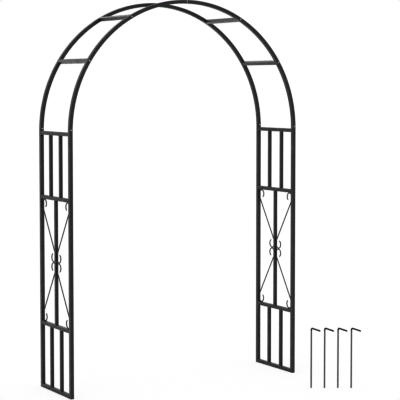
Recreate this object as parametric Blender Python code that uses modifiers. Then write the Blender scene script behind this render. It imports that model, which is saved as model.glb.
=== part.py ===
"""Metal garden arch: two welded trellis panels, two bolted hoops and four loose ground stakes.

Units are metres and +Z is up. The origin is on the ground at the middle of the passage, X runs
across the passage from the left panel to the right one, and -Y is the front.
"""
import math

import bmesh
import bpy
from mathutils import Vector

# Overall sizes, between the centrelines of the tubes.
SPAN = 1.400
DEPTH = 0.367
POST_HEIGHT = 1.405
RAIL_OFFSET = 0.345  # each middle rail, above and below the panel's mid height

# Stock: square tube for posts, rails, hoops and crossbars, a lighter one for bars, and round wire.
TUBE = 0.0195
TUBE_WALL = 0.0010
TUBE_CORNER = 0.0020
BAR = 0.0160
BAR_WALL = 0.0008
BAR_CORNER = 0.0016
WIRE = 0.0055

# Fits.
GAP = 0.0003  # between pieces that touch
SLEEVE_CLEARANCE = 0.0008  # on each side of a sleeve that slides into a tube
CROWN_SEAM = 0.0045  # between the two halves of a hoop

# Panel filling.
BAR_SPACING = 0.124
CURL_RADIUS = 0.0233  # of the wire's centreline
CURL_END_RADIUS = 0.0205  # where a curl tightens towards its free end
CORNER_CURL_SWEEP = 236
CENTRE_CURL_SWEEP = 248
KNEE = 0.0178  # from a curl's centre to the knee, along the post or the bar
KNEE_RADIUS = 0.030
CURL_STEP = 20  # degrees between points on a curl

# Hoops, crossbars and the sleeves that join them.
HOOP_STEPS = 30
CROSSBAR_ANGLES = {"lower": 32.4, "upper": 60.9}  # degrees above the springing of the hoop
SPIGOT_IN_POST = 0.040
SPIGOT_IN_HOOP = 0.020
CROWN_SLEEVE_LENGTH = 0.060

# Screws.
SCREW_HEAD_RADIUS = 0.0042
SCREW_HEAD_HEIGHT = 0.0024
SCREW_SHANK_RADIUS = 0.0020
SCREW_SIDES = 12
POST_SCREW_HEIGHT = 0.0125  # above the foot of the hoop
POST_SCREW_LENGTH = 0.008
CROSSBAR_SCREW_GRIP = 0.008  # past the hoop, into the crossbar

# Ground stakes: one row beside the front of the right panel.
STAKE_DIAMETER = 0.0080
STAKE_HEIGHT = 0.333
STAKE_HOOK = 0.081
STAKE_BEND_RADIUS = 0.011
STAKE_DROOP = 3  # degrees that the hook is bent past square
STAKE_FIRST = (0.5520, -0.5877)
STAKE_SPACING = 0.0730
STAKE_ROW_DIRECTION = -30.2  # degrees from +X
STAKE_COUNT = 4

HOOP_RADIUS = SPAN / 2
SPRINGING = POST_HEIGHT + GAP
MIDDLE = POST_HEIGHT / 2
FRONT = -1
REAR = 1
ENDS = {"front": FRONT, "rear": REAR}
SIDES = {"left": -1, "right": 1}

# Finishes: linear colour, metallic, roughness.
FINISHES = {
    "tube_coat": ((0.014, 0.014, 0.015, 1), 0.0, 0.45),
    "bar_coat": ((0.013, 0.013, 0.014, 1), 0.0, 0.45),
    "wire_coat": ((0.018, 0.018, 0.019, 1), 0.0, 0.42),
    "crossbar_coat": ((0.016, 0.016, 0.017, 1), 0.0, 0.40),
    "stake_coat": ((0.020, 0.020, 0.021, 1), 0.0, 0.45),
    "plain_steel": ((0.32, 0.32, 0.33, 1), 1.0, 0.45),
    "zinc_screw": ((0.50, 0.51, 0.52, 1), 1.0, 0.35),
}


def clear_scene():
    for old in list(bpy.data.objects):
        bpy.data.objects.remove(old, do_unlink=True)


def collection(name):
    made = bpy.data.collections.new(name)
    bpy.context.scene.collection.children.link(made)
    return made


def finish_material(name):
    found = bpy.data.materials.get(name)
    if found:
        return found
    colour, metallic, roughness = FINISHES[name]
    made = bpy.data.materials.new(name)
    made.use_nodes = True
    shader = made.node_tree.nodes["Principled BSDF"]
    shader.inputs["Base Color"].default_value = colour
    shader.inputs["Metallic"].default_value = metallic
    shader.inputs["Roughness"].default_value = roughness
    return made


def place(obj, finish, location=(0, 0, 0), rotation=(0, 0, 0), parent=None):
    """Put an object among the arch's parts, with its finish, relative to its parent."""
    PARTS.objects.link(obj)
    obj.data.materials.append(finish_material(finish))
    obj.location = location
    obj.rotation_euler = rotation
    obj.parent = parent
    return obj


def empty(name, location):
    made = bpy.data.objects.new(name, None)
    made.location = location
    PARTS.objects.link(made)
    return made


def mesh_object(name, bm):
    mesh = bpy.data.meshes.new(name)
    bm.to_mesh(mesh)
    bm.free()
    mesh.shade_smooth()
    mesh.set_sharp_from_angle(angle=math.radians(50))
    return bpy.data.objects.new(name, mesh)


def section(bm, side, corner):
    """The outline of a square tube, in the XY plane, with its corners taken off."""
    circumradius = side / math.sqrt(2)
    made = bmesh.ops.create_circle(bm, segments=4, radius=circumradius)
    quarter = math.radians(45)
    for vert in made["verts"]:
        x, y, _ = vert.co
        vert.co.x = x * math.cos(quarter) - y * math.sin(quarter)
        vert.co.y = x * math.sin(quarter) + y * math.cos(quarter)
    bmesh.ops.bevel(bm, geom=bm.verts[:], offset=corner, segments=1, profile=0.5,
                    affect="VERTICES", material=-1)
    return bm.edges[:]


def add_wall(obj, wall):
    """Turn an open sleeve into a tube whose outside is the sleeve."""
    solid = obj.modifiers.new("wall", "SOLIDIFY")
    solid.thickness = wall
    solid.offset = -1
    solid.use_even_offset = True


def straight_tube(name, side, wall, corner, length):
    """A hollow square tube along +Z, from the origin."""
    bm = bmesh.new()
    edges = section(bm, side, corner)
    grown = bmesh.ops.extrude_edge_only(bm, edges=edges)
    far = [part for part in grown["geom"] if isinstance(part, bmesh.types.BMVert)]
    bmesh.ops.translate(bm, verts=far, vec=(0, 0, length))
    bmesh.ops.recalc_face_normals(bm, faces=bm.faces[:])
    obj = mesh_object(name, bm)
    add_wall(obj, wall)
    return obj


def arc_tube(name, side, wall, corner, start, end, steps):
    """A hollow square tube bent along a hoop in the XZ plane, from one angle to another."""
    bm = bmesh.new()
    edges = section(bm, side, corner)
    for vert in bm.verts:
        across, along_y, _ = vert.co
        radius = HOOP_RADIUS + across
        vert.co = (radius * math.cos(start), along_y, radius * math.sin(start))
    bmesh.ops.spin(bm, geom=edges, cent=(0, 0, 0), axis=(0, -1, 0), dvec=(0, 0, 0),
                   angle=end - start, steps=steps, use_merge=False, use_duplicate=False)
    bmesh.ops.recalc_face_normals(bm, faces=bm.faces[:])
    obj = mesh_object(name, bm)
    add_wall(obj, wall)
    return obj


def closed_tube(name, side, wall, corner, length):
    """A hollow square tube centred on the origin along Y, its ends closed by thin plates."""
    bm = bmesh.new()
    bmesh.ops.create_cube(bm, size=1)
    bmesh.ops.scale(bm, verts=bm.verts[:], vec=(side, length, side))
    long_edges = [edge for edge in bm.edges if abs(edge.verts[0].co.y - edge.verts[1].co.y) > 0.5 * length]
    bmesh.ops.bevel(bm, geom=long_edges, offset=corner, segments=1, profile=0.5,
                    affect="EDGES", material=-1)
    obj = mesh_object(name, bm)
    add_wall(obj, wall)
    return obj


def drill(obj, centre, length, radius):
    """Bore a hole along Y, centred on a point in the object's parent space."""
    bm = bmesh.new()
    bmesh.ops.create_cone(bm, cap_ends=True, segments=SCREW_SIDES, radius1=radius, radius2=radius, depth=length)
    mesh = bpy.data.meshes.new(obj.name + "_drill")
    bm.to_mesh(mesh)
    bm.free()
    cutter = bpy.data.objects.new(mesh.name, mesh)
    CUTTERS.objects.link(cutter)
    cutter.location = centre
    cutter.rotation_euler = (math.radians(90), 0, 0)
    cutter.hide_render = True
    cutter.display_type = "WIRE"
    cut = obj.modifiers.new("drill", "BOOLEAN")
    cut.operation = "DIFFERENCE"
    cut.solver = "EXACT"
    cut.object = cutter


def screw(name, length):
    """A button-head screw along Z: the head above the origin and the shank below it."""
    head = SCREW_HEAD_RADIUS
    profile = [
        (0, SCREW_HEAD_HEIGHT),
        (0.55 * head, 0.86 * SCREW_HEAD_HEIGHT),
        (0.90 * head, 0.45 * SCREW_HEAD_HEIGHT),
        (head, 0),
        (SCREW_SHANK_RADIUS, 0),
        (SCREW_SHANK_RADIUS, -length),
        (0, -length),
    ]
    bm = bmesh.new()
    verts = [bm.verts.new((x, 0, z)) for x, z in profile]
    for above, below in zip(verts, verts[1:]):
        bm.edges.new((above, below))
    obj = mesh_object(name, bm)
    turn = obj.modifiers.new("turn", "SCREW")
    turn.angle = math.radians(360)
    turn.steps = SCREW_SIDES
    turn.render_steps = SCREW_SIDES
    turn.use_merge_vertices = True
    turn.merge_threshold = 0.0001
    turn.use_smooth_shade = True
    return obj


def wire(name, points, diameter):
    """A round wire through the points, with flat ends."""
    curve = bpy.data.curves.new(name, "CURVE")
    curve.dimensions = "3D"
    curve.bevel_depth = diameter / 2
    curve.bevel_resolution = 2
    curve.use_fill_caps = True
    spline = curve.splines.new("POLY")
    spline.points.add(len(points) - 1)
    for slot, point in zip(spline.points, points):
        slot.co = (*point, 1)
    return bpy.data.objects.new(name, curve)


def arc_points(centre, radius, start, end, step):
    """Points in a plane along an arc from one angle to another, in degrees, both ends included."""
    count = max(1, round(abs(end - start) / step))
    angles = [math.radians(start + (end - start) * i / count) for i in range(count + 1)]
    return [Vector((centre[0] + radius * math.cos(a), centre[1] + radius * math.sin(a))) for a in angles]


def knee_points(before, corner, after, radius):
    """The rounded corner of a bent wire: three points on an arc that touches both runs."""
    into = (corner - before).normalized()
    out = (after - corner).normalized()
    turn = math.acos(max(-1, min(1, into.dot(out))))
    reach = radius * math.tan(turn / 2)
    first = corner - into * reach
    last = corner + out * reach
    centre = corner + (out - into).normalized() * radius / math.cos(turn / 2)
    middle = centre + (corner - centre).normalized() * radius
    return [first, middle, last]


def scroll_outline():
    """One S-scroll in the rear upper quarter of the middle bay, as points (y, z) from its centre.

    The corner curl touches the post and the rail, the centre curl touches the bar and its twin,
    and a straight run with a knee at each end joins them.
    """
    touch = GAP + WIRE / 2
    by_post = DEPTH / 2 - TUBE / 2 - touch
    by_bar = BAR / 2 + touch
    under_rail = RAIL_OFFSET - TUBE / 2 - touch
    over_twin = (GAP + WIRE) / 2
    tighter = CURL_RADIUS - CURL_END_RADIUS

    corner = Vector((by_post - CURL_RADIUS, under_rail - CURL_RADIUS))
    corner_end = corner + Vector((-tighter, 0))
    curl = arc_points(corner_end, CURL_END_RADIUS, CORNER_CURL_SWEEP, 180, CURL_STEP)[:-1]
    curl += arc_points(corner, CURL_RADIUS, 180, 0, CURL_STEP)

    centre = Vector((by_bar + CURL_RADIUS, over_twin + CURL_RADIUS))
    centre_end = centre + Vector((tighter, 0))
    tail = arc_points(centre, CURL_RADIUS, 180, 360, CURL_STEP)
    tail += arc_points(centre_end, CURL_END_RADIUS, 360, 180 + CENTRE_CURL_SWEEP, CURL_STEP)[1:]

    post_knee = Vector((by_post, corner.y - KNEE))
    bar_knee = Vector((by_bar, centre.y + KNEE))
    run = knee_points(curl[-1], post_knee, bar_knee, KNEE_RADIUS)
    run += knee_points(post_knee, bar_knee, tail[0], KNEE_RADIUS)
    return curl + run + tail


def make_panel(side):
    """One ladder-like trellis panel, in its own frame: its foot centre is the origin."""
    panel = empty(f"{side}_panel", (SIDES[side] * SPAN / 2, 0, 0))
    for end, sign in ENDS.items():
        post = straight_tube(f"{side}_{end}_post", TUBE, TUBE_WALL, TUBE_CORNER, POST_HEIGHT)
        place(post, "tube_coat", (0, sign * DEPTH / 2, 0), parent=panel)

    rail_length = DEPTH - TUBE - 2 * GAP
    rails = {
        "bottom_rail": TUBE / 2,
        "lower_mid_rail": MIDDLE - RAIL_OFFSET,
        "upper_mid_rail": MIDDLE + RAIL_OFFSET,
        "top_rail": POST_HEIGHT - TUBE / 2,
    }
    along_y = (math.radians(-90), 0, 0)
    for name, height in rails.items():
        rail = straight_tube(f"{side}_{name}", TUBE, TUBE_WALL, TUBE_CORNER, rail_length)
        place(rail, "tube_coat", (0, -rail_length / 2, height), along_y, panel)

    spread = BAR_SPACING / 2
    bars = [
        ("front_bottom_bar", -spread, "bottom_rail", "lower_mid_rail"),
        ("rear_bottom_bar", spread, "bottom_rail", "lower_mid_rail"),
        ("centre_bar", 0, "lower_mid_rail", "upper_mid_rail"),
        ("front_top_bar", -spread, "upper_mid_rail", "top_rail"),
        ("rear_top_bar", spread, "upper_mid_rail", "top_rail"),
    ]
    for name, across, below, above in bars:
        foot = rails[below] + TUBE / 2 + GAP
        length = rails[above] - TUBE / 2 - GAP - foot
        bar = straight_tube(f"{side}_{name}", BAR, BAR_WALL, BAR_CORNER, length)
        place(bar, "bar_coat", (0, across, foot), parent=panel)

    outline = scroll_outline()
    for end, along in ENDS.items():
        for level, up in (("lower", -1), ("upper", 1)):
            points = [(0, along * point.x, up * point.y) for point in outline]
            scroll = wire(f"{side}_{end}_{level}_scroll", points, WIRE)
            place(scroll, "wire_coat", (0, 0, MIDDLE), parent=panel)


def crossbar_centre(side, angle):
    """Where a crossbar's axis meets the hoop's centreline, in the frame of the springing line."""
    lift = math.radians(angle)
    return SIDES[side] * HOOP_RADIUS * math.cos(lift), HOOP_RADIUS * math.sin(lift)


def make_hoop_half(end, side, arch):
    """A quarter circle of tube, drilled for its post screw and for its crossbar screws."""
    seam = CROWN_SEAM / 2 / HOOP_RADIUS
    crown = math.radians(90)
    if side == "right":
        start, finish = 0, crown - seam
    else:
        start, finish = math.radians(180), crown + seam
    half = arc_tube(f"{end}_hoop_{side}", TUBE, TUBE_WALL, TUBE_CORNER, start, finish, HOOP_STEPS)
    along = ENDS[end] * DEPTH / 2
    place(half, "tube_coat", (0, along, SPRINGING), parent=arch)

    hole = SCREW_SHANK_RADIUS + GAP
    across = SIDES[side] * HOOP_RADIUS
    drill(half, (across, along - TUBE / 2, SPRINGING + POST_SCREW_HEIGHT), TUBE, hole)
    for angle in CROSSBAR_ANGLES.values():
        x, z = crossbar_centre(side, angle)
        drill(half, (x, along, SPRINGING + z), 2 * TUBE, hole)


def make_spigot(end, side, arch):
    """The sleeve welded into a post's top, which the hoop slides over."""
    width = TUBE - 2 * TUBE_WALL - 2 * SLEEVE_CLEARANCE
    length = SPIGOT_IN_POST + SPIGOT_IN_HOOP
    spigot = straight_tube(f"{end}_{side}_spigot", width, TUBE_WALL, TUBE_CORNER / 2, length)
    across = SIDES[side] * HOOP_RADIUS
    along = ENDS[end] * DEPTH / 2
    place(spigot, "plain_steel", (across, along, POST_HEIGHT - SPIGOT_IN_POST), parent=arch)
    hole = SCREW_SHANK_RADIUS + GAP
    drill(spigot, (across, along - width / 2, SPRINGING + POST_SCREW_HEIGHT), width, hole)


def make_crown_sleeve(end, arch):
    """The bent sleeve inside a hoop's crown, which joins the hoop's two halves."""
    width = TUBE - 2 * TUBE_WALL - 2 * SLEEVE_CLEARANCE
    reach = CROWN_SLEEVE_LENGTH / 2 / HOOP_RADIUS
    crown = math.radians(90)
    sleeve = arc_tube(f"{end}_crown_sleeve", width, TUBE_WALL, TUBE_CORNER / 2, crown - reach, crown + reach, 4)
    place(sleeve, "plain_steel", (0, ENDS[end] * DEPTH / 2, SPRINGING), parent=arch)


def make_crossbar(side, level, arch):
    """A crossbar between the hoops, square to them, with tapped end plates."""
    angle = CROSSBAR_ANGLES[level]
    x, z = crossbar_centre(side, angle)
    length = DEPTH - TUBE - 2 * GAP
    bar = closed_tube(f"{side}_{level}_crossbar", TUBE, TUBE_WALL, TUBE_CORNER, length)
    tilt = math.radians(-SIDES[side] * angle)
    place(bar, "crossbar_coat", (x, 0, SPRINGING + z), (0, tilt, 0), arch)
    for sign in ENDS.values():
        drill(bar, (x, sign * length / 2, SPRINGING + z), 4 * TUBE_WALL, SCREW_SHANK_RADIUS + GAP)


def make_screws(arch):
    """Four screws hold the hoops on their posts, and eight hold the crossbars between the hoops."""
    to_front = (math.radians(90), 0, 0)
    to_rear = (math.radians(-90), 0, 0)
    for end, sign in ENDS.items():
        for side, mirror in SIDES.items():
            face = sign * DEPTH / 2 - TUBE / 2 - GAP
            place(screw(f"{end}_{side}_post_screw", POST_SCREW_LENGTH), "zinc_screw",
                  (mirror * HOOP_RADIUS, face, SPRINGING + POST_SCREW_HEIGHT), to_front, arch)
            for level, angle in CROSSBAR_ANGLES.items():
                x, z = crossbar_centre(side, angle)
                face = sign * (DEPTH / 2 + TUBE / 2 + GAP)
                facing = to_front if sign == FRONT else to_rear
                place(screw(f"{end}_{side}_{level}_crossbar_screw", TUBE + CROSSBAR_SCREW_GRIP), "zinc_screw",
                      (x, face, SPRINGING + z), facing, arch)


def make_arch_top():
    arch = empty("arch_top", (0, 0, 0))
    for end in ENDS:
        for side in SIDES:
            make_hoop_half(end, side, arch)
            make_spigot(end, side, arch)
        make_crown_sleeve(end, arch)
    for side in SIDES:
        for level in CROSSBAR_ANGLES:
            make_crossbar(side, level, arch)
    make_screws(arch)


def make_stakes():
    """Loose L-shaped ground stakes, standing on their tips in a row with their hooks to the front."""
    bend_centre = (-STAKE_BEND_RADIUS, STAKE_HEIGHT - STAKE_DIAMETER / 2 - STAKE_BEND_RADIUS)
    bend = arc_points(bend_centre, STAKE_BEND_RADIUS, 0, 90 + STAKE_DROOP, CURL_STEP)
    drop = (STAKE_HOOK + bend[-1].x) * math.tan(math.radians(STAKE_DROOP))
    outline = [Vector((0, 0)), *bend, Vector((-STAKE_HOOK, bend[-1].y - drop))]
    points = [(0, point.x, point.y) for point in outline]
    heading = math.radians(STAKE_ROW_DIRECTION)
    for i in range(STAKE_COUNT):
        x = STAKE_FIRST[0] + i * STAKE_SPACING * math.cos(heading)
        y = STAKE_FIRST[1] + i * STAKE_SPACING * math.sin(heading)
        place(wire(f"ground_stake_{i + 1}", points, STAKE_DIAMETER), "stake_coat", (x, y, 0))


clear_scene()
PARTS = collection("garden_arch")
CUTTERS = collection("cutters")
for panel_side in SIDES:
    make_panel(panel_side)
make_arch_top()
make_stakes()
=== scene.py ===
# %% [markdown]
# # A metal trellis garden arch
#
# The real arch is bolted together from welded frames of black powder-coated square tube: two
# trellis panels, two hoops made in halves, and four crossbars between the hoops. Four loose
# ground stakes come with it. The frame loaded here has every piece at its real size and place,
# but with plain chamfered corners and coarse bends. The cells below make each kind of piece again
# as a workshop would leave it, with rolled corners, smooth bends, weld beads and screw sockets,
# then give it its coat, and end with the studio and the camera.

import math

import bmesh
import bpy
from bmesh.types import BMEdge, BMVert
from mathutils import Matrix, Vector


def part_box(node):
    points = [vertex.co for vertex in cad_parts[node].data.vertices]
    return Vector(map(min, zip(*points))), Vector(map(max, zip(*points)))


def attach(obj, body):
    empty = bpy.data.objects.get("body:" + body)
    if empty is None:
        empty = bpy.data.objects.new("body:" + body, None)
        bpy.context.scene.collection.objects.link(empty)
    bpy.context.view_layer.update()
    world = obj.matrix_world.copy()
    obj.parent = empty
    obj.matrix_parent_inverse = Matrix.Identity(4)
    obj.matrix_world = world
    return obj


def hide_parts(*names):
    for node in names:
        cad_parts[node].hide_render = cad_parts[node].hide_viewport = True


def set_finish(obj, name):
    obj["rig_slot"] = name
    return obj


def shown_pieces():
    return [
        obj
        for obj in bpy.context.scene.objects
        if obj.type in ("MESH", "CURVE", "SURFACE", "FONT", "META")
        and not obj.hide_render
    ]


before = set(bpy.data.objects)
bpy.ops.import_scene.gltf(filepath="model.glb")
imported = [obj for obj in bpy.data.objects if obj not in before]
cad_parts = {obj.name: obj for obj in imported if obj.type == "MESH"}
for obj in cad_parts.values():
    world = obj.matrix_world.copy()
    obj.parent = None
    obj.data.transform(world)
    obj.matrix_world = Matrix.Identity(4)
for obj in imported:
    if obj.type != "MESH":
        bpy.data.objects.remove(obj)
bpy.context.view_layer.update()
ENDS = ("front", "rear")
SIDES = ("left", "right")

# %% [markdown]
# ## Stock sizes
#
# Everything is cut from four stocks: a main tube, a lighter tube for the bars, scroll wire and
# stake rod. Their outside sizes can be typed in or read off the frame. They are read off it, so
# that the looks follow the frame if a size changes there. Only what the frame's coarse pieces
# can't tell is typed: wall thicknesses, corner radii and the radii of the bends.

# %% Read the stock sizes
MM = 0.001
WALL = 1.0 * MM
TUBE_CORNER = 2.0 * MM
BAR_CORNER = 1.6 * MM


def extent(node):
    """The size of a node's box along each axis."""
    low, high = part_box(node)
    return high - low


def middle(node):
    """The centre of a node's box."""
    low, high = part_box(node)
    return (low + high) / 2


TUBE = extent("left_front_post").x
BAR = extent("left_centre_bar").x
WIRE = extent("left_front_upper_scroll").x
ROD = extent("ground_stake_1").x
print(f"tube {TUBE:.4f}, bar {BAR:.4f}, wire {WIRE:.4f}, rod {ROD:.4f} m")

# %% [markdown]
# ## From mesh to piece
#
# A finished piece needs an object, smooth shading with its true edges kept sharp, a body to ride
# on and the frame node that it stands for. Flat faces next to a rounded corner look pillowed
# under plain smooth shading, because the corner tilts their normals. A Weighted Normal modifier
# lets the large faces win, so that they stay flat. The narrow faces, which are the corners and
# the rims, are marked in an attribute, because a coat looks different there.

# %% Finish a piece
CORNER_FACE_WIDTH = 1.0 * MM
SHARP_ANGLE = math.radians(40)


def mark_edges(bm):
    """Mark the narrow faces, where a coat runs thin."""
    layer = bm.faces.layers.float.new("edge")
    for face in bm.faces:
        width = min(edge.calc_length() for edge in face.edges)
        face[layer] = 1.0 if width < CORNER_FACE_WIDTH else 0.0


def finish_piece(bm, name, slot, node=None, body="arch"):
    """Turn a bmesh into a piece that rides a body, wears a slot and stands for a frame node."""
    mark_edges(bm)
    mesh = bpy.data.meshes.new(name)
    bm.to_mesh(mesh)
    bm.free()
    mesh.shade_smooth()
    mesh.set_sharp_from_angle(angle=SHARP_ANGLE)
    piece = bpy.data.objects.new(name, mesh)
    bpy.context.scene.collection.objects.link(piece)
    flat = piece.modifiers.new("flat_faces", "WEIGHTED_NORMAL")
    flat.keep_sharp = True
    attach(piece, body)
    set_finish(piece, slot)
    if node:
        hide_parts(node)
    return piece


# %% [markdown]
# ## Square tube
#
# Square tube is rolled from strip, so its corners are round and it is hollow. One could bevel a
# cube, but a bent tube needs the same section swept round an arc. So the section is drawn once,
# as a square whose four corners are rounded by a vertex bevel, and is then extruded for a
# straight tube or spun for a bent one. The wall is added last, inwards, and the sawn rims are
# eased as a thick coat would ease them.

# %% Draw a section and give it a wall
CORNER_SEGMENTS = 6
SAWN_ANGLE = math.radians(60)  # an edge sharper than this was sawn
RIM_EASE = 0.25 * MM  # the film rounds off a sawn edge


def only(kind, parts):
    """Pick the vertices or the edges out of what an operator gives back."""
    return [part for part in parts if isinstance(part, kind)]


def section(bm, side, corner):
    """Draw a square with round corners in the XY plane, and return its edges."""
    upright = Matrix.Rotation(math.radians(45), 4, "Z")
    bmesh.ops.create_circle(bm, segments=4, radius=side / math.sqrt(2), matrix=upright)
    bmesh.ops.bevel(bm, geom=bm.verts[:], offset=corner, segments=CORNER_SEGMENTS,
                    profile=0.5, affect="VERTICES", material=-1)
    return bm.edges[:]


def ease_sharp_edges(bm, width, segments=2):
    """Round off the sawn edges by a width."""
    sharp = [edge for edge in bm.edges if edge.calc_face_angle(0) > SAWN_ANGLE]
    bmesh.ops.bevel(bm, geom=sharp, offset=width, segments=segments,
                    profile=0.5, affect="EDGES", material=-1)


def add_wall(bm):
    """Turn an open sleeve into a tube with the same outside."""
    bmesh.ops.recalc_face_normals(bm, faces=bm.faces[:])
    bmesh.ops.solidify(bm, geom=bm.faces[:], thickness=WALL)
    ease_sharp_edges(bm, RIM_EASE)


# %% Cut a straight tube
def straight_tube(side, corner, start, end, roll=0.0):
    """A tube between two points, rolled about its own axis by an angle."""
    bm = bmesh.new()
    outline = section(bm, side, corner)
    grown = bmesh.ops.extrude_edge_only(bm, edges=outline)["geom"]
    run = end - start
    bmesh.ops.translate(bm, verts=only(BMVert, grown), vec=(0, 0, run.length))
    add_wall(bm)
    lay = Vector((0, 0, 1)).rotation_difference(run).to_matrix().to_4x4()
    spun = Matrix.Rotation(roll, 4, "Z")
    bmesh.ops.transform(bm, verts=bm.verts[:], matrix=Matrix.Translation(start) @ lay @ spun)
    return bm


# %% [markdown]
# ## Posts
#
# A post is one straight length, open at the foot and at the top, where the spigot that carries
# the hoop goes in. Its box gives both ends.

# %% Make the posts
for side in SIDES:
    for end in ENDS:
        node = f"{side}_{end}_post"
        low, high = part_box(node)
        axis = middle(node)
        foot = Vector((axis.x, axis.y, low.z))
        top = Vector((axis.x, axis.y, high.z))
        tube = straight_tube(TUBE, TUBE_CORNER, foot, top)
        finish_piece(tube, f"{node}_tube", "tube_coat", node)
        print(f"{node}: {high.z - low.z:.3f} m")

# %% [markdown]
# ## Rails
#
# Rails are sawn square and welded between the posts. The frame leaves a hair's gap at each
# joint, to keep its solids apart. A weld leaves none, so each rail is cut to reach from one
# post's face to the other's.

# %% Make the rails
RAILS = ("bottom_rail", "lower_mid_rail", "upper_mid_rail", "top_rail")

for side in SIDES:
    front_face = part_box(f"{side}_front_post")[1].y
    rear_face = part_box(f"{side}_rear_post")[0].y
    for rail in RAILS:
        node = f"{side}_{rail}"
        axis = middle(node)
        start = Vector((axis.x, front_face, axis.z))
        stop = Vector((axis.x, rear_face, axis.z))
        tube = straight_tube(TUBE, TUBE_CORNER, start, stop)
        finish_piece(tube, f"{node}_tube", "tube_coat", node)
    print(f"{side} rails: {rear_face - front_face:.4f} m each")

# %% [markdown]
# ## Bars
#
# The upright bars are a lighter tube. Two stand in the bottom bay, one in the middle bay and two
# in the top bay. Each reaches from the rail below to the rail above.

# %% Make the bars
BARS = {
    "front_bottom_bar": ("bottom_rail", "lower_mid_rail"),
    "rear_bottom_bar": ("bottom_rail", "lower_mid_rail"),
    "centre_bar": ("lower_mid_rail", "upper_mid_rail"),
    "front_top_bar": ("upper_mid_rail", "top_rail"),
    "rear_top_bar": ("upper_mid_rail", "top_rail"),
}

for side in SIDES:
    for bar, (below, above) in BARS.items():
        node = f"{side}_{bar}"
        axis = middle(node)
        foot = Vector((axis.x, axis.y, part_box(f"{side}_{below}")[1].z))
        top = Vector((axis.x, axis.y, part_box(f"{side}_{above}")[0].z))
        tube = straight_tube(BAR, BAR_CORNER, foot, top)
        finish_piece(tube, f"{node}_tube", "bar_coat", node)
print(f"{len(BARS)} bars in each panel")

# %% [markdown]
# ## Hoop halves
#
# Each hoop is two quarter circles of the main tube, rolled to a radius. A curve with a bevel
# could make one, but spinning the section keeps it square to the arc and leaves clean rings of
# faces. Sixty rings in a quarter circle keep the outline round to less than a tenth of a
# millimetre. The halves stop short of each other at the crown, where the inner sleeve shows.

# %% Make the hoop halves
HOOP_RINGS = 60
CROWN = math.radians(90)
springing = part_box("front_hoop_left")[0].z
hoop_radius = extent("front_hoop_left").z - TUBE / 2
crown_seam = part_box("front_hoop_right")[0].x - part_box("front_hoop_left")[1].x
half_seam = crown_seam / 2 / hoop_radius  # radians


def bent_tube(radius, start, sweep):
    """A quarter hoop about the Y axis, from one angle through another."""
    bm = bmesh.new()
    outline = section(bm, TUBE, TUBE_CORNER)
    swing = Matrix.Rotation(start, 4, (0, -1, 0))
    out = Matrix.Translation((radius, 0, 0))
    bmesh.ops.transform(bm, verts=bm.verts[:], matrix=swing @ out)
    bmesh.ops.spin(bm, geom=outline, cent=(0, 0, 0), axis=(0, -1, 0), dvec=(0, 0, 0),
                   angle=sweep, steps=HOOP_RINGS, use_merge=False, use_duplicate=False)
    add_wall(bm)
    return bm


for end in ENDS:
    for side in SIDES:
        node = f"{end}_hoop_{side}"
        if side == "right":
            half = bent_tube(hoop_radius, 0, CROWN - half_seam)
        else:
            half = bent_tube(hoop_radius, 2 * CROWN, half_seam - CROWN)
        place = (0, middle(node).y, springing)
        bmesh.ops.translate(half, verts=half.verts[:], vec=place)
        finish_piece(half, f"{node}_tube", "tube_coat", node)
print(f"hoops: radius {hoop_radius:.4f} m, crown seam {crown_seam * 1000:.2f} mm")

# %% [markdown]
# ## Crossbars
#
# Four lengths of the main tube join the front hoop to the rear one. Each is turned so that its
# faces are square to the hoop. Its box's centre, seen from the hoop's centre, gives that angle.

# %% Make the crossbars
for side in SIDES:
    for level in ("lower", "upper"):
        node = f"{side}_{level}_crossbar"
        axis = middle(node)
        lean = math.atan2(axis.x, axis.z - springing)
        start = Vector((axis.x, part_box(f"front_hoop_{side}")[1].y, axis.z))
        stop = Vector((axis.x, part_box(f"rear_hoop_{side}")[0].y, axis.z))
        tube = straight_tube(TUBE, TUBE_CORNER, start, stop, roll=lean)
        finish_piece(tube, f"{node}_tube", "crossbar_coat", node)
        print(f"{node}: leans {math.degrees(lean):.1f} degrees")

# %% [markdown]
# ## Bending wire
#
# A scroll is one length of round wire, bent on a jig: it runs straight, turns by so many
# degrees at a radius, and runs on. A curve object could follow it, but the moves themselves are
# the clearest way to write it. So this helper works like a pen in the YZ plane: it carries a ring
# of edges along, extrudes it for a run and spins it for a turn. Each end is cut with a shear, so
# it is flat with a soft edge.

# %% Bend a wire along its moves
WIRE_SIDES = 16
DEGREES_PER_RING = 8
WIRE_END_EASE = 0.12  # of its diameter


def direction(degrees):
    """A unit vector in the YZ plane, measured from +Y towards +Z."""
    angle = math.radians(degrees)
    return Vector((0, math.cos(angle), math.sin(angle)))


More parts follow.
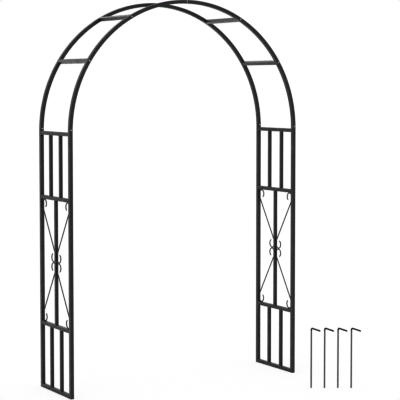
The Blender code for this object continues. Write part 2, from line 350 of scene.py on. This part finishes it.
def bend_wire(diameter, start, heading, moves):
    """Moves are ("run", length) or ("turn", radius, degrees). A positive turn is to the left."""
    bm = bmesh.new()
    bmesh.ops.create_circle(bm, segments=WIRE_SIDES, radius=diameter / 2)
    aim = Matrix.Rotation(math.radians(heading - 90), 4, "X")
    bmesh.ops.transform(bm, verts=bm.verts[:], matrix=Matrix.Translation(start) @ aim)
    ring = bm.edges[:]
    tip = start.copy()
    for kind, amount, *degrees in moves:
        if kind == "run":
            step = direction(heading) * amount
            grown = bmesh.ops.extrude_edge_only(bm, edges=ring)["geom"]
            bmesh.ops.translate(bm, verts=only(BMVert, grown), vec=step)
            ring = [edge for edge in only(BMEdge, grown) if edge.is_boundary]
            tip += step
        else:
            turn = degrees[0]
            centre = tip + direction(heading + math.copysign(90, turn)) * amount
            rings = max(1, round(abs(turn) / DEGREES_PER_RING))
            spun = bmesh.ops.spin(bm, geom=ring, cent=centre, axis=(1, 0, 0), dvec=(0, 0, 0),
                                  angle=math.radians(turn), steps=rings,
                                  use_merge=False, use_duplicate=False)
            ring = only(BMEdge, spun["geom_last"])
            tip = centre + Matrix.Rotation(math.radians(turn), 3, "X") @ (tip - centre)
            heading += turn
    rims = [edge for edge in bm.edges if edge.is_boundary]
    bmesh.ops.holes_fill(bm, edges=rims, sides=0)
    bmesh.ops.recalc_face_normals(bm, faces=bm.faces[:])
    ease_sharp_edges(bm, diameter * WIRE_END_EASE, segments=3)
    return bm


# %% [markdown]
# ## Scrolls
#
# The middle bay of each panel holds four S-scrolls. A scroll's corner curl touches the post and
# the rail, and its centre curl touches the bar and the scroll's twin. A straight run with a soft
# knee at each end joins the curls. So the curls' places come from the faces that they touch,
# and the run's slope and length follow from them. Each curl tightens a little towards its end.

# %% Work out a scroll's bends
CURL_RADIUS = 23.3 * MM  # of the wire's centreline
CURL_END_RADIUS = 20.5 * MM
CORNER_CURL_EXTRA = 56  # degrees past the half turn
CENTRE_CURL_EXTRA = 68  # degrees past the half turn
KNEE = 17.8 * MM  # from a curl's centre to the knee, along the post or the bar
KNEE_RADIUS = 30 * MM


def scroll_moves(by_post, by_bar, under_rail, over_twin):
    """The start, heading and moves of a rear upper scroll, from its centreline's four limits."""
    corner = Vector((0, by_post - CURL_RADIUS, under_rail - CURL_RADIUS))
    centre = Vector((0, by_bar + CURL_RADIUS, over_twin + CURL_RADIUS))
    slope = Vector((by_post - by_bar, corner.z - centre.z - 2 * KNEE))
    knee_turn = math.atan2(slope.x, slope.y)
    reach = KNEE_RADIUS * math.tan(knee_turn / 2)
    bend = math.degrees(knee_turn)
    tight_centre = corner - direction(0) * (CURL_RADIUS - CURL_END_RADIUS)
    start = tight_centre + direction(180 + CORNER_CURL_EXTRA) * CURL_END_RADIUS
    moves = [
        ("turn", CURL_END_RADIUS, -CORNER_CURL_EXTRA),
        ("turn", CURL_RADIUS, -180),
        ("run", KNEE - reach),
        ("turn", KNEE_RADIUS, -bend),
        ("run", slope.length - 2 * reach),
        ("turn", KNEE_RADIUS, bend),
        ("run", KNEE - reach),
        ("turn", CURL_RADIUS, 180),
        ("turn", CURL_END_RADIUS, CENTRE_CURL_EXTRA),
    ]
    return start, 90 + CORNER_CURL_EXTRA, moves


def wire_length(moves):
    """The length that the moves take, along the wire's centreline."""
    runs = sum(move[1] for move in moves if move[0] == "run")
    turns = sum(move[1] * math.radians(abs(move[2])) for move in moves if move[0] == "turn")
    return runs + turns


# %% Make the scrolls
panel_middle = middle("left_centre_bar").z
under_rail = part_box("left_upper_mid_rail")[0].z - WIRE / 2 - panel_middle
by_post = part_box("left_rear_post")[0].y - WIRE / 2
by_bar = BAR / 2 + WIRE / 2
start, heading, moves = scroll_moves(by_post, by_bar, under_rail, WIRE / 2)

for side in SIDES:
    for end, along in (("front", -1), ("rear", 1)):
        for level, up in (("lower", -1), ("upper", 1)):
            node = f"{side}_{end}_{level}_scroll"
            bm = bend_wire(WIRE, start, heading, moves)
            bmesh.ops.scale(bm, verts=bm.verts[:], vec=(1, along, up))
            bmesh.ops.recalc_face_normals(bm, faces=bm.faces[:])
            place = (middle(node).x, 0, panel_middle)
            bmesh.ops.translate(bm, verts=bm.verts[:], vec=place)
            finish_piece(bm, f"{node}_wire", "wire_coat", node)
print(f"8 scrolls, each bent from {wire_length(moves):.3f} m of wire")

# %% [markdown]
# ## Ground stakes
#
# A stake is a length of rod with one bend, a little past square: pushed into the soil, its hook
# holds a rail down. The same helper bends it. The shank and the hook take up what the bend
# leaves of the frame's box. Each stake is loose, so each rides on a body of its own.

# %% Make the stakes
STAKES = 4
STAKE_BEND = 11 * MM  # radius of the rod's centreline
DROOP = math.radians(3)  # of the hook, below level

for number in range(1, STAKES + 1):
    node = f"ground_stake_{number}"
    low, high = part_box(node)
    foot = Vector((middle(node).x, high.y - ROD / 2, low.z))
    shank = high.z - low.z - ROD / 2 - STAKE_BEND
    reach = foot.y - low.y - ROD / 2 * math.sin(DROOP)
    hook = (reach - STAKE_BEND * (1 + math.sin(DROOP))) / math.cos(DROOP)
    bends = [("run", shank), ("turn", STAKE_BEND, 90 + math.degrees(DROOP)), ("run", hook)]
    rod = bend_wire(ROD, foot, 90, bends)
    finish_piece(rod, f"{node}_rod", "stake_coat", node, body=f"stake_{number}")
    print(f"{node}: {shank:.3f} m shank, {hook:.3f} m hook")

# %% [markdown]
# ## Screws
#
# Twelve button-head socket screws hold the arch together. A screw is a turned part, so half of its
# outline is drawn and spun about its axis. The hexagonal socket can't be turned. It starts as the
# spun head's inner ring, whose points are moved to the sides of a hexagon, and is then extruded
# down and closed.

# %% Turn a profile
SAME_POINT = 0.01 * MM  # closer points are merged


def lathe(bm, profile, steps):
    """Turn a profile of (radius, height) pairs once about the Z axis."""
    points = [bm.verts.new((radius, 0, height)) for radius, height in profile]
    outline = [bm.edges.new(pair) for pair in zip(points, points[1:])]
    bmesh.ops.spin(bm, geom=outline, cent=(0, 0, 0), axis=(0, 0, 1), dvec=(0, 0, 0),
                   angle=math.radians(360), steps=steps, use_merge=True, use_duplicate=False)
    bmesh.ops.remove_doubles(bm, verts=bm.verts[:], dist=SAME_POINT)


# %% Turn a screw
SCREW_STEPS = 24
SOCKET_FLAT = 1.25 * MM  # from the axis to a side of the socket
SOCKET_DEPTH = 1.3 * MM
SHANK_RADIUS = 2.0 * MM
RIM_SHARE = 0.35  # of the head's height, below its dome
FLAT_SHARE = 0.62  # of the head's radius, on top of its dome
DOME_ANGLES = (90, 75, 60, 45, 30)  # degrees, from the flat down to the rim


def move_to_hexagon(verts, flat):
    """Slide points in or out until they lie on the sides of a hexagon."""
    for vert in verts:
        angle = math.atan2(vert.co.y, vert.co.x)
        from_side = (angle + math.radians(30)) % math.radians(60) - math.radians(30)
        radius = flat / math.cos(from_side)
        vert.co.x = radius * math.cos(angle)
        vert.co.y = radius * math.sin(angle)


def turned_screw(head_radius, head_height, length):
    """A screw along Z: the seat of its head is at the origin and its shank runs down."""
    bm = bmesh.new()
    flat = head_radius * FLAT_SHARE
    rim = head_height * RIM_SHARE
    profile = [(SOCKET_FLAT, head_height)]
    for degrees in DOME_ANGLES:
        angle = math.radians(degrees)
        out = flat + (head_radius - flat) * math.cos(angle)
        up = rim + (head_height - rim) * math.sin(angle)
        profile.append((out, up))
    profile += [(head_radius, rim), (head_radius, 0)]
    profile += [(SHANK_RADIUS, 0), (SHANK_RADIUS, -length), (0, -length)]
    lathe(bm, profile, SCREW_STEPS)
    mouth = [edge for edge in bm.edges if edge.is_boundary]
    move_to_hexagon({vert for edge in mouth for vert in edge.verts}, SOCKET_FLAT)
    sunk = bmesh.ops.extrude_edge_only(bm, edges=mouth)["geom"]
    bmesh.ops.translate(bm, verts=only(BMVert, sunk), vec=(0, 0, -SOCKET_DEPTH))
    bottom = [edge for edge in only(BMEdge, sunk) if edge.is_boundary]
    bmesh.ops.holes_fill(bm, edges=bottom, sides=0)
    bmesh.ops.recalc_face_normals(bm, faces=bm.faces[:])
    return bm


# %% Make the screws
SEAT_GAP = 0.3 * MM  # the frame keeps it under a head, and a tight screw leaves none


def make_screw(end, side, place_name, facing):
    """Facing is -1 for a head on a hoop's front face and 1 for one on its rear face."""
    node = f"{end}_{side}_{place_name}_screw"
    low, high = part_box(node)
    head_radius = (high.x - low.x) / 2
    hoop_low, hoop_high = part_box(f"{end}_hoop_{side}")
    seat = hoop_low.y if facing < 0 else hoop_high.y
    head_height = (seat - low.y if facing < 0 else high.y - seat) - SEAT_GAP
    length = (high.y - low.y) - head_height
    bm = turned_screw(head_radius, head_height, length)
    tip_over = Matrix.Rotation(math.radians(-90 * facing), 4, "X")
    place = Matrix.Translation((middle(node).x, seat, middle(node).z))
    bmesh.ops.transform(bm, verts=bm.verts[:], matrix=place @ tip_over)
    finish_piece(bm, f"{node}_button", "zinc_screw", node)
    return length


for end in ENDS:
    for side in SIDES:
        short = make_screw(end, side, "post", -1)
        for level in ("lower", "upper"):
            long = make_screw(end, side, f"{level}_crossbar", -1 if end == "front" else 1)
print(f"post screws {short * 1000:.1f} mm, crossbar screws {long * 1000:.1f} mm")

# %% [markdown]
# ## Weld beads
#
# The panels are welded by hand, so each joint has small rippled beads under the coat. A bead is
# a fat line with soft ends whose thickness ripples as the pool freezes. Its half outline comes
# from a formula and is spun about its axis. A bead that lies on the line where two faces meet
# shows a quarter of itself, which is just what a fillet weld looks like.

# %% Spin one bead
BEAD_RIPPLE = 2.2 * MM  # from crest to crest
BEAD_WAVE = 0.07  # of its radius
BEAD_ROUNDNESS = 8  # a higher power makes the ends blunter
BEAD_STEPS = 10
POINTS_PER_RIPPLE = 4


def add_bead(bm, centre, along, length, radius):
    """Add a bead to a mesh, lying along a direction."""
    count = max(8, round(length / (BEAD_RIPPLE / POINTS_PER_RIPPLE)))
    profile = []
    for i in range(count + 1):
        share = 2 * i / count - 1
        swell = math.sqrt(max(0, 1 - share ** BEAD_ROUNDNESS))
        ripple = 1 + BEAD_WAVE * math.sin(math.pi * length * share / BEAD_RIPPLE)
        profile.append((radius * swell * ripple, share * length / 2))
    bead = bmesh.new()
    lathe(bead, profile, BEAD_STEPS)
    bmesh.ops.recalc_face_normals(bead, faces=bead.faces[:])
    lay = Vector((0, 0, 1)).rotation_difference(Vector(along)).to_matrix().to_4x4()
    bmesh.ops.transform(bead, verts=bead.verts[:], matrix=Matrix.Translation(centre) @ lay)
    holder = bpy.data.meshes.new("bead")
    bead.to_mesh(holder)
    bead.free()
    bm.from_mesh(holder)
    bpy.data.meshes.remove(holder)


# %% Weld the rails to the posts
FILLET = 1.8 * MM  # radius of a bead where a rail's top or underside meets a post
GROOVE = 1.35 * MM  # radius of a bead between two flush faces
GROOVE_DEPTH = 1.0 * MM  # of its centre line, below the tubes' faces
ACROSS = (1, 0, 0)
UPRIGHT = (0, 0, 1)


def weld_rails(bm, side):
    """Four beads round each end of each rail. No bead goes below the ground."""
    x = middle(f"{side}_front_post").x
    faces = (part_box(f"{side}_front_post")[1].y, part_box(f"{side}_rear_post")[0].y)
    for rail in RAILS:
        low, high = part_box(f"{side}_{rail}")
        level = (low.z + high.z) / 2
        for y in faces:
            for z in (low.z, high.z):
                if z > FILLET:
                    add_bead(bm, (x, y, z), ACROSS, TUBE - 2 * TUBE_CORNER, FILLET)
            for sign in (-1, 1):
                edge = x + sign * (TUBE / 2 - GROOVE_DEPTH)
                add_bead(bm, (edge, y, level), UPRIGHT, TUBE - TUBE_CORNER, GROOVE)


# %% Weld the bars to the rails
BAR_FILLET = 1.5 * MM


def weld_bars(bm, side):
    """A bead in front of each end of each bar, and one behind it."""
    for bar, (below, above) in BARS.items():
        axis = middle(f"{side}_{bar}")
        joints = (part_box(f"{side}_{below}")[1].z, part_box(f"{side}_{above}")[0].z)
        for z in joints:
            for sign in (-1, 1):
                y = axis.y + sign * BAR / 2
                add_bead(bm, (axis.x, y, z), ACROSS, BAR - 2 * BAR_CORNER, BAR_FILLET)


# %% Tack the scrolls
TACK = 1.4 * MM  # radius of the bead
TACK_LENGTH = 9 * MM
ALONG = (0, 1, 0)


def weld_scrolls(bm, side):
    """A tack wherever a curl touches a post, a rail, the bar or its twin."""
    x = middle(f"{side}_centre_bar").x
    corner_z = under_rail - CURL_RADIUS
    corner_y = by_post - CURL_RADIUS
    centre_z = WIRE / 2 + CURL_RADIUS
    centre_y = by_bar + CURL_RADIUS
    for along in (-1, 1):
        for up in (-1, 1):
            tacks = [
                (by_post + WIRE / 2, corner_z, UPRIGHT),
                (corner_y, under_rail + WIRE / 2, ALONG),
                (by_bar - WIRE / 2, centre_z, UPRIGHT),
            ]
            for y, z, run in tacks:
                add_bead(bm, (x, along * y, panel_middle + up * z), run, TACK_LENGTH, TACK)
        add_bead(bm, (x, along * centre_y, panel_middle), ALONG, TACK_LENGTH, TACK)


# %% Weld both panels
for side in SIDES:
    welds = bmesh.new()
    weld_rails(welds, side)
    weld_bars(welds, side)
    weld_scrolls(welds, side)
    print(f"{side} panel: {len(welds.verts)} points of weld bead")
    finish_piece(welds, f"{side}_panel_welds", "tube_coat")

# %% [markdown]
# ## Colours and nodes
#
# Colours are written as the hex codes that a paint chart gives, and one function turns them into
# the linear values that the renderer works in. Another adds a node. The four that every coat
# needs, which are a noise, a blend of two colours, a gloss and a bump, have a helper each. Their
# patterns are sized in millimetres, so a noise's scale is the number of features in a metre.

# %% Helpers for nodes
def colour(code):
    """A hex code as linear red, green, blue and alpha."""
    channels = [int(code[i:i + 2], 16) / 255 for i in (1, 3, 5)]
    linear = [c / 12.92 if c <= 0.04045 else ((c + 0.055) / 1.055) ** 2.4 for c in channels]
    return (*linear, 1.0)


def add(material, kind, inputs=None, **settings):
    """Add a node with its settings, and its inputs as values or as the sockets that feed them."""
    node = material.node_tree.nodes.new(kind)
    for name, value in settings.items():
        setattr(node, name, value)
    for socket, value in (inputs or {}).items():
        if isinstance(value, bpy.types.NodeSocket):
            material.node_tree.links.new(value, node.inputs[socket])
        else:
            node.inputs[socket].default_value = value
    return node


# %% Helpers for coats
NOISE_LOW = 0.3  # a noise seldom leaves the band from here
NOISE_HIGH = 0.7  # to here


def noise(material, place, spacing, detail, roughness=0.5):
    """A pattern whose features lie some millimetres apart."""
    return add(material, "ShaderNodeTexNoise",
               {"Vector": place, "Scale": 1000 / spacing, "Detail": detail,
                "Roughness": roughness}).outputs["Fac"]


def blend(material, share, first, second):
    """A mix of two colours. No share gives the first, a full share the second."""
    return add(material, "ShaderNodeMix", {0: share, 6: first, 7: second},
               data_type="RGBA").outputs[2]


def gloss_from(material, pattern, low, high):
    """A roughness that follows a noise from one value to another."""
    return add(material, "ShaderNodeMapRange",
               {"Value": pattern, "From Min": NOISE_LOW, "From Max": NOISE_HIGH,
                "To Min": low, "To Max": high}).outputs["Result"]


def bump(material, pattern, height, **under):
    """A relief of some height, over another one if that one's Normal is given."""
    return add(material, "ShaderNodeBump",
               {"Height": pattern, "Distance": height, "Strength": 1.0, **under}).outputs["Normal"]


def start_material(name, roughness, **constants):
    """Constants sit on the shader's own sockets, named with underscores for spaces."""
    material = bpy.data.materials.new(name)
    material.use_nodes = True
    shader = material.node_tree.nodes["Principled BSDF"]
    shader.inputs["Roughness"].default_value = roughness
    for socket, value in constants.items():
        shader.inputs[socket.replace("_", " ")].default_value = value
    return material, shader


def feed(material, shader, **sockets):
    """Link outputs to the shader's inputs, named with underscores for spaces."""
    for name, output in sockets.items():
        material.node_tree.links.new(output, shader.inputs[name.replace("_", " ")])


# %% [markdown]
# ## Powder coat
#
# The coat is polyester powder, sprayed on dry and melted in an oven. It levels like a liquid but
# sets before it is quite flat, which leaves the shallow dimples called orange peel. It draws thin
# over corners, where the grey of the steel lifts the black, and it greys a little where it is
# rubbed. One noise makes the dimples, a finer one the grain and a wide one the drift of the
# gloss. One between them places the rubbed patches and breaks up the thin film on the marked
# faces. Real peel repeats every 2 to 3 mm. It is drawn at 6 mm, so that it still shows at the
# distance from which the whole arch is seen.

# %% Make the powder coats
PEEL_SPACING = 6  # mm, coarser than the real 2 to 3 mm
PEEL_HEIGHT = 0.10 * MM
GRAIN_SPACING = 0.8  # mm
GRAIN_HEIGHT = 0.010 * MM
DRIFT_SPACING = 70  # mm
SCUFF_SPACING = 25  # mm
SCUFF_ROUGHNESS = 0.62
RUBBED_FROM = 0.56  # where a scuff starts to show in its noise
RUBBED_TO = 0.72  # where it shows in full
RUBBED_SHARE = 0.35  # of the thin film's grey
COAT_IOR = 1.5  # of polyester and of air-dried paint


def powder_coat(name, film, thin_film, gloss):
    """A baked black powder. It takes two colours, and two roughness values to drift between."""
    material, shader = start_material(name, gloss[1], IOR=COAT_IOR)
    place = add(material, "ShaderNodeTexCoord").outputs["Object"]
    scuff = noise(material, place, SCUFF_SPACING, 5.0, SCUFF_ROUGHNESS)
    rubbed = add(material, "ShaderNodeMapRange",
                 {"Value": scuff, "From Min": RUBBED_FROM, "From Max": RUBBED_TO}).outputs["Result"]
    edge = add(material, "ShaderNodeAttribute", attribute_name="edge").outputs["Fac"]
    paler = add(material, "ShaderNodeMath", {0: edge, 1: scuff}, operation="MULTIPLY").outputs[0]
    faded = add(material, "ShaderNodeMath", {0: rubbed, 1: RUBBED_SHARE, 2: paler},
                operation="MULTIPLY_ADD", use_clamp=True).outputs[0]
    tone = blend(material, faded, colour(film), colour(thin_film))
    drift = noise(material, place, DRIFT_SPACING, 3.0)
    dimples = bump(material, noise(material, place, PEEL_SPACING, 1.0), PEEL_HEIGHT)
    grain = bump(material, noise(material, place, GRAIN_SPACING, 2.0), GRAIN_HEIGHT, Normal=dimples)
    feed(material, shader, Base_Color=tone,
         Roughness=gloss_from(material, drift, *gloss), Normal=grain)
    return material


tube_coat = powder_coat("satin_black_powder_coat", "#252526", "#404042", (0.48, 0.60))
bar_coat = powder_coat("satin_black_bar_coat", "#202021", "#38383a", (0.48, 0.58))
wire_coat = powder_coat("satin_black_wire_coat", "#242426", "#38383a", (0.44, 0.56))
crossbar_coat = powder_coat("satin_black_crossbar_coat", "#272728", "#3c3c3e", (0.42, 0.52))
for coat in (tube_coat, bar_coat, wire_coat, crossbar_coat):
    print(f"{coat.name}: {len(coat.node_tree.nodes)} nodes")

# %% [markdown]
# ## Black paint and painted light on the stakes
#
# The stakes are dull black paint, with light and shade painted into it. The shank is painted a
# paler grey, a painted highlight standing in for the light that the upright rod catches. The hook,
# which is what stays in view above the soil, is painted near black, a painted shade on its upward
# face. The rod's faint lengthwise lines are a bump. Height along the rod tells the two tones apart.

# %% Make the stake paint and its painted light
# Where the hook's painted shade starts and where it is full
HOOK_SHADE_FROM = 312 * MM  # height above the tip
HOOK_SHADE_TO = 322 * MM
DULL_SHEEN = 0.2  # chalky air-dried paint has less surface shine than baked powder
CLOUD_SPACING = 30  # mm
LINE_SPACING = 1.5  # mm
LINE_HEIGHT = 0.03 * MM
LINE_STRETCH = 0.08  # a small scale along the rod draws the lines out
DIP_GLOSS = (0.42, 0.58)  # roughness


def dip_paint():
    """Dull black paint: the shank painted paler grey as a painted highlight, the hook painted near
    black as painted shade.
    """
    material, shader = start_material("dull_black_paint_with_painted_light", 0.5, IOR=COAT_IOR,
                                      Specular_IOR_Level=DULL_SHEEN)
    place = add(material, "ShaderNodeTexCoord").outputs["Object"]
    height = add(material, "ShaderNodeSeparateXYZ", {"Vector": place}).outputs["Z"]
    hook_shade = add(material, "ShaderNodeMapRange",
                 {"Value": height, "From Min": HOOK_SHADE_FROM,
                  "From Max": HOOK_SHADE_TO}).outputs["Result"]
    cloud = noise(material, place, CLOUD_SPACING, 4.0)
    # The shank's paler grey is a painted highlight, and the hook's near black is painted shade on
    # its upward face
    paler = blend(material, cloud, colour("#434345"), colour("#565658"))
    tone = blend(material, hook_shade, paler, colour("#0b0b0c"))
    stretched = add(material, "ShaderNodeMapping",
                    {"Vector": place, "Scale": (1.0, 1.0, LINE_STRETCH)}).outputs["Vector"]
    lines = bump(material, noise(material, stretched, LINE_SPACING, 2.0), LINE_HEIGHT)
    feed(material, shader, Base_Color=tone,
         Roughness=gloss_from(material, cloud, *DIP_GLOSS), Normal=lines)
    return material


stake_paint = dip_paint()
print(f"{stake_paint.name}: matt black above {HOOK_SHADE_TO * 1000:.0f} mm")

# %% [markdown]
# ## Zinc plate and plain steel
#
# The screws are bright zinc: a little blue, with a fine satin from the plating bath. The sleeves
# inside the posts and the hoops' crowns are plain mill-finish steel, with upright rolling lines.
# Both are metals, so their colour is in the reflection itself.

# %% Make the metals
def metal(name, dark, pale, gloss, spacing, scale_up, height):
    """A bare metal. Its grain is drawn out upwards by a scale below 1."""
    material, shader = start_material(name, gloss[1], Metallic=1.0)
    place = add(material, "ShaderNodeTexCoord").outputs["Object"]
    drawn = add(material, "ShaderNodeMapping",
                {"Vector": place, "Scale": (1.0, 1.0, scale_up)}).outputs["Vector"]
    grain = noise(material, drawn, spacing, 4.0)
    feed(material, shader, Base_Color=blend(material, grain, colour(dark), colour(pale)),
         Roughness=gloss_from(material, grain, *gloss), Normal=bump(material, grain, height))
    return material


zinc = metal("bright_zinc_plate", "#828589", "#a3a6a9", (0.30, 0.44), 1.2, 1.0, 0.01 * MM)
mill_steel = metal("mill_finish_steel", "#8e8e8d", "#a9a9a7", (0.38, 0.52), 2.0, 0.1, 0.02 * MM)
print(f"metals: {zinc.name}, {mill_steel.name}")

# %% [markdown]
# ## Who wears what
#
# Each piece already names the slot of the record that its finish belongs to, so one table from
# slot to material dresses them all. The sleeves are frame nodes that stay as they are, with
# a better steel.

# %% Give each piece its coat
COATS = {
    "tube_coat": tube_coat,
    "bar_coat": bar_coat,
    "wire_coat": wire_coat,
    "crossbar_coat": crossbar_coat,
    "stake_coat": stake_paint,
    "zinc_screw": zinc,
}

dressed = 0
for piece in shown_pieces():
    if "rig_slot" in piece:
        piece.data.materials.clear()
        piece.data.materials.append(COATS[piece["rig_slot"]])
        dressed += 1
for name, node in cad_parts.items():
    if name.endswith("_spigot") or name.endswith("_crown_sleeve"):
        node.data.materials.clear()
        node.data.materials.append(mill_steel)
        dressed += 1
print(f"{dressed} pieces dressed")

# %% [markdown]
# ## Studio
#
# A catalogue shows such an arch cut out on plain white: the arch is lit by a bright tent, and
# the white behind it is simply the paper's own white. Real lights could be hung round a white
# room, but they would burn the floor out and eat into the thin wires. So the tent is a world that
# varies softly with direction: even all round, with a little more from the rear left and much
# more from overhead. Where the camera looks straight at the world or the floor it meets plain
# white, with only a trace of the floor's own shading, which keeps a faint shadow under the feet.

# %% Lay the floor
FLOOR_SIDE = 24.0
FLOOR_SHADE = 0.05  # how much of its shading the camera sees
FLOOR_WHITE = (0.80, 0.80, 0.80, 1.0)
FLOOR_GLOW = 0.915  # brings what the camera sees up to plain white

sheet = bmesh.new()
bmesh.ops.create_grid(sheet, x_segments=1, y_segments=1, size=FLOOR_SIDE / 2)
floor_mesh = bpy.data.meshes.new("floor")
sheet.to_mesh(floor_mesh)
sheet.free()
floor = bpy.data.objects.new("floor", floor_mesh)
bpy.context.scene.collection.objects.link(floor)

paper = bpy.data.materials.new("matt_white_paper")
paper.use_nodes = True
paper.node_tree.nodes.clear()
matt = add(paper, "ShaderNodeBsdfDiffuse", {"Color": FLOOR_WHITE})
glow = add(paper, "ShaderNodeEmission", {"Strength": FLOOR_GLOW})
seen = add(paper, "ShaderNodeLightPath").outputs["Is Camera Ray"]
share = add(paper, "ShaderNodeMath", {0: seen, 1: 1 - FLOOR_SHADE}, operation="MULTIPLY").outputs[0]
paper_mix = add(paper, "ShaderNodeMixShader",
                {0: share, 1: matt.outputs["BSDF"], 2: glow.outputs["Emission"]})
add(paper, "ShaderNodeOutputMaterial", {"Surface": paper_mix.outputs["Shader"]})
floor_mesh.materials.append(paper)
print(f"floor: {FLOOR_SIDE:.0f} m square")

# %% Set the surround
ROOM = 2.05  # radiance from every side
REAR_WALL = 0.5  # more from the rear left
CEILING = 2.5  # more from overhead
REAR_LEFT = (-0.5, 0.866, 0.0)
OVERHEAD = (0.0, 0.0, 1.0)
FADE = 2.0  # power of the cosine
PLAIN_WHITE = (1.0, 1.0, 1.0, 1.0)

world = bpy.data.worlds.new("studio")
bpy.context.scene.world = world
world.use_nodes = True
world.node_tree.nodes.clear()
towards = add(world, "ShaderNodeTexCoord").outputs["Generated"]


def glow_from(axis, strength, base):
    """Light that fades with the angle from an axis, added to a base."""
    cosine = add(world, "ShaderNodeVectorMath", {0: towards, 1: axis},
                 operation="DOT_PRODUCT").outputs["Value"]
    lobe = add(world, "ShaderNodeMath", {0: cosine, 1: 0.0}, operation="MAXIMUM").outputs[0]
    soft = add(world, "ShaderNodeMath", {0: lobe, 1: FADE}, operation="POWER").outputs[0]
    return add(world, "ShaderNodeMath", {0: soft, 1: strength, 2: base},
               operation="MULTIPLY_ADD").outputs[0]


light = glow_from(REAR_LEFT, REAR_WALL, ROOM)
light = glow_from(OVERHEAD, CEILING, light)
seen = add(world, "ShaderNodeLightPath").outputs["Is Camera Ray"]
tent = add(world, "ShaderNodeBackground", {"Color": PLAIN_WHITE, "Strength": light})
white = add(world, "ShaderNodeBackground", {"Color": PLAIN_WHITE, "Strength": 1.0})
both = add(world, "ShaderNodeMixShader",
           {0: seen, 1: tent.outputs["Background"], 2: white.outputs["Background"]})
add(world, "ShaderNodeOutputWorld", {"Surface": both.outputs["Shader"]})
bpy.context.scene.view_settings.view_transform = "Raw"
print(f"surround: {ROOM} to {ROOM + CEILING} overhead")

# %% [markdown]
# ## Camera
#
# The arch is seen from the front left and from eye height, a long way off through a long lens, so
# its uprights stay almost parallel.

# %% Place the camera
EYE = (-3.9184, -7.0464, 1.6556)
TURN_RIGHT = 30.25  # degrees from +Y towards +X
LOOK_DOWN = 3.376
LENS = 130.2  # mm
SENSOR = 36  # mm
SHIFT = -0.075  # of the sensor's width, downwards
FAR_CLIP = 100  # m

lens = bpy.data.cameras.new("camera")
lens.lens = LENS
lens.sensor_width = SENSOR
lens.shift_y = SHIFT
lens.clip_end = FAR_CLIP
camera = bpy.data.objects.new("camera", lens)
camera.location = EYE
camera.rotation_euler = (math.radians(90 - LOOK_DOWN), 0, math.radians(-TURN_RIGHT))
bpy.context.scene.collection.objects.link(camera)
bpy.context.scene.camera = camera
print(f"camera: {LENS} mm lens at {EYE}")
